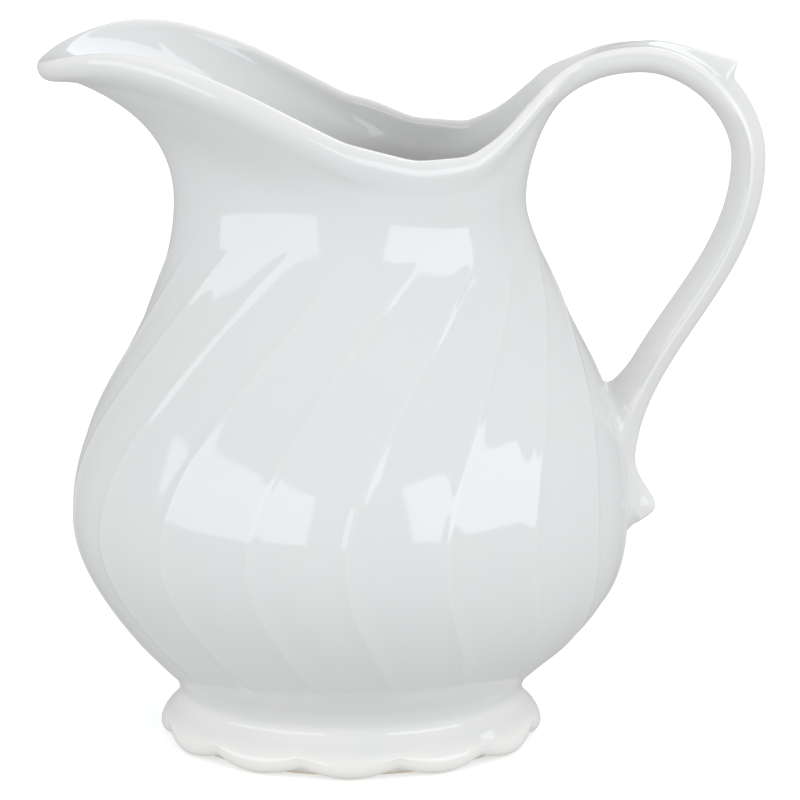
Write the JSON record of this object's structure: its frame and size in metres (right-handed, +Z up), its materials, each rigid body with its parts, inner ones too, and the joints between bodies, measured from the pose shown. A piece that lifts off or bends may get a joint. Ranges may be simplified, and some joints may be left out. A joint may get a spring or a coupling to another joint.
{
  "type": "milk jug",
  "caption": "White porcelain milk jug with a swirl-fluted belly, a broad pouring lip, a scalloped foot and a looped handle that grows out of the rim.",
  "frame": {"origin": "centre of the flat standing ring under the foot, on the table", "axes": "+Z up along the body's axis, +X towards the handle, -X towards the pouring lip"},
  "size_m": [0.1719, 0.134, 0.1692],
  "materials": {
    "glazed_porcelain": "clear gloss glaze over white porcelain",
    "handle_porcelain": "clear gloss glaze over white porcelain",
    "foot_porcelain": "clear gloss glaze, wiped off the standing ring",
    "slip_joint": "fired slip under the same clear gloss glaze"
  },
  "bodies": {
    "root": {"body_shell": "glazed_porcelain", "foot_ring": "foot_porcelain", "foot_slip": "slip_joint", "handle": "handle_porcelain", "upper_handle_slip": "slip_joint", "lower_handle_slip": "slip_joint"}
  },
  "joints": []
}
